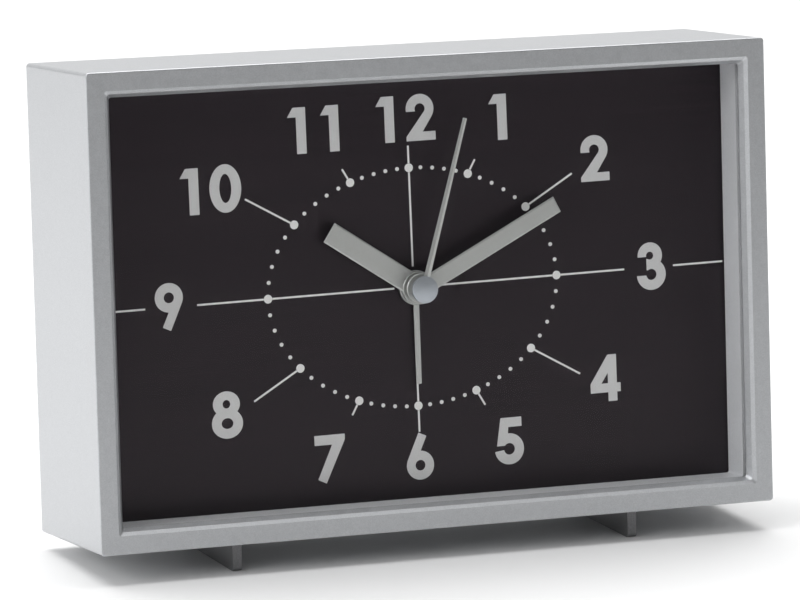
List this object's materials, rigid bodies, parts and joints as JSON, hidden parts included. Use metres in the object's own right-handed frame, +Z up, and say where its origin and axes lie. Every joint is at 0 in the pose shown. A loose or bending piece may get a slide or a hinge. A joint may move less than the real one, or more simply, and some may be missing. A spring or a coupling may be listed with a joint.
{
  "type": "table alarm clock",
  "caption": "Rectangular silver table alarm clock on thin fins, with a deep dark dial behind a flat lens, slim hands, a geared quartz movement, knobs and a battery door at the back.",
  "frame": {"origin": "on the table, under the middle of the bounding box", "axes": "+X to the right and +Z up as the dial is read, +Y from the dial to the back"},
  "size_m": [0.1528, 0.0475, 0.1062],
  "materials": {
    "case_silver": "fine silver metallic paint",
    "lens_clear": "clear and polished",
    "dial_dark": "dark aubergine, finely brushed sideways",
    "print_silver": "silver satin print",
    "hand_silver": "satin with bright edges",
    "cap_steel": "satin with a polished rim",
    "fin_dark": "dark satin",
    "screw_steel": "plated",
    "plastic_black": "fine moulded grain",
    "plastic_grey": "fine moulded grain",
    "knob_black": "satin",
    "wheel_cream": "smooth acetal",
    "brass": "turned",
    "board_green": "printed board",
    "chip_black": "cured drop",
    "can_silver": "drawn can",
    "copper": "enamelled copper wire",
    "iron": "stamped iron",
    "magnet_grey": "moulded magnet",
    "bobbin_white": "smooth",
    "cell_sleeve": "plain printed sleeve",
    "switch_red": "smooth"
  },
  "bodies": {
    "clock": {"case_shell": "case_silver", "lens": "lens_clear", "spacer_frame": "case_silver", "dial_face": "dial_dark", "dial_numerals": "print_silver", "dial_hour_dots": "print_silver", "dial_minute_dots": "print_silver", "dial_lines": "print_silver", "left_foot_fin": "fin_dark", "right_foot_fin": "fin_dark", "foot_screws": "screw_steel", "dial_support": "plastic_grey", "corner_blocks": "plastic_grey", "rear_cover": "plastic_black", "cover_screws": "screw_steel", "movement_front_shell": "plastic_black", "movement_rear_shell": "plastic_black", "shell_screws": "screw_steel", "movement_screws": "screw_steel", "battery_cell": "cell_sleeve", "battery_contacts": "screw_steel", "circuit_board": "board_green", "board_chip": "chip_black", "quartz_crystal": "can_silver", "coil_bobbin": "bobbin_white", "coil_winding": "copper", "stator": "iron", "train_bridge": "brass", "buzzer": "plastic_black", "alarm_contact_spring": "brass"},
    "minute": {"centre_wheel": "wheel_cream", "minute_hand": "hand_silver"},
    "hour": {"hour_wheel": "wheel_cream", "hour_hand": "hand_silver"},
    "second": {"second_wheel": "wheel_cream", "second_hand": "hand_silver", "second_hand_cap": "cap_steel"},
    "third": {"third_wheel": "wheel_cream"},
    "intermediate": {"intermediate_wheel": "wheel_cream"},
    "motor_rotor": {"rotor": "magnet_grey"},
    "minute_work": {"minute_wheel": "wheel_cream"},
    "time_setter": {"time_set_shaft": "wheel_cream", "set_knob": "knob_black"},
    "alarm": {"alarm_wheel": "wheel_cream", "alarm_hand": "hand_silver"},
    "alarm_setter": {"alarm_set_shaft": "wheel_cream", "alarm_knob": "knob_black"},
    "switch": {"alarm_switch": "switch_red"},
    "door": {"battery_door": "plastic_black"}
  },
  "joints": [
    {"name": "minute_turn", "type": "hinge", "parent": "clock", "child": "minute", "pos_m": [-0.0007, 0.0001, 0.05493], "axis": [0, 0.9969, -0.0785], "continuous": true},
    {"name": "hour_turn", "type": "hinge", "parent": "clock", "child": "hour", "pos_m": [-0.0007, 0.0001, 0.05493], "axis": [0, 0.9969, -0.0785], "continuous": true},
    {"name": "second_turn", "type": "hinge", "parent": "clock", "child": "second", "pos_m": [-0.0007, 0.0001, 0.05493], "axis": [0, 0.9969, -0.0785], "continuous": true},
    {"name": "third_turn", "type": "hinge", "parent": "clock", "child": "third", "pos_m": [-0.00707, 0.00096, 0.06594], "axis": [0, 0.9969, -0.0785], "continuous": true},
    {"name": "intermediate_turn", "type": "hinge", "parent": "clock", "child": "intermediate", "pos_m": [0.00821, 0.0008, 0.06381], "axis": [0, 0.9969, -0.0785], "continuous": true},
    {"name": "rotor_turn", "type": "hinge", "parent": "clock", "child": "motor_rotor", "pos_m": [0.0173, 0.00121, 0.06905], "axis": [0, 0.9969, -0.0785], "continuous": true},
    {"name": "minute_wheel_turn", "type": "hinge", "parent": "clock", "child": "minute_work", "pos_m": [-0.01109, 0.00022, 0.05646], "axis": [0, 0.9969, -0.0785], "continuous": true},
    {"name": "time_set_turn", "type": "hinge", "parent": "clock", "child": "time_setter", "pos_m": [-0.0192, -0.00031, 0.04981], "axis": [0, 0.9969, -0.0785], "continuous": true},
    {"name": "alarm_turn", "type": "hinge", "parent": "clock", "child": "alarm", "pos_m": [-0.0007, 0.0001, 0.05493], "axis": [0, 0.9969, -0.0785], "continuous": true},
    {"name": "alarm_set_turn", "type": "hinge", "parent": "clock", "child": "alarm_setter", "pos_m": [0.0134, -0.00031, 0.04981], "axis": [0, 0.9969, -0.0785], "continuous": true},
    {"name": "switch_slide", "type": "slide", "parent": "clock", "child": "switch", "axis": [1, 0, 0], "range_m": [0, 0.004]},
    {"name": "door_slide", "type": "slide", "parent": "clock", "child": "door", "axis": [0, -0.0785, -0.9969], "range_m": [0, 0.012]}
  ],
  "couplings": [
    {"joint": "hour_turn", "follows": "minute_turn", "ratio": 0.083333},
    {"joint": "second_turn", "follows": "minute_turn", "ratio": 60},
    {"joint": "third_turn", "follows": "minute_turn", "ratio": -8},
    {"joint": "intermediate_turn", "follows": "minute_turn", "ratio": -300},
    {"joint": "rotor_turn", "follows": "minute_turn", "ratio": 1800},
    {"joint": "minute_wheel_turn", "follows": "minute_turn", "ratio": -0.33333},
    {"joint": "time_set_turn", "follows": "minute_turn", "ratio": 1},
    {"joint": "alarm_turn", "follows": "alarm_set_turn", "ratio": -0.6}
  ]
}
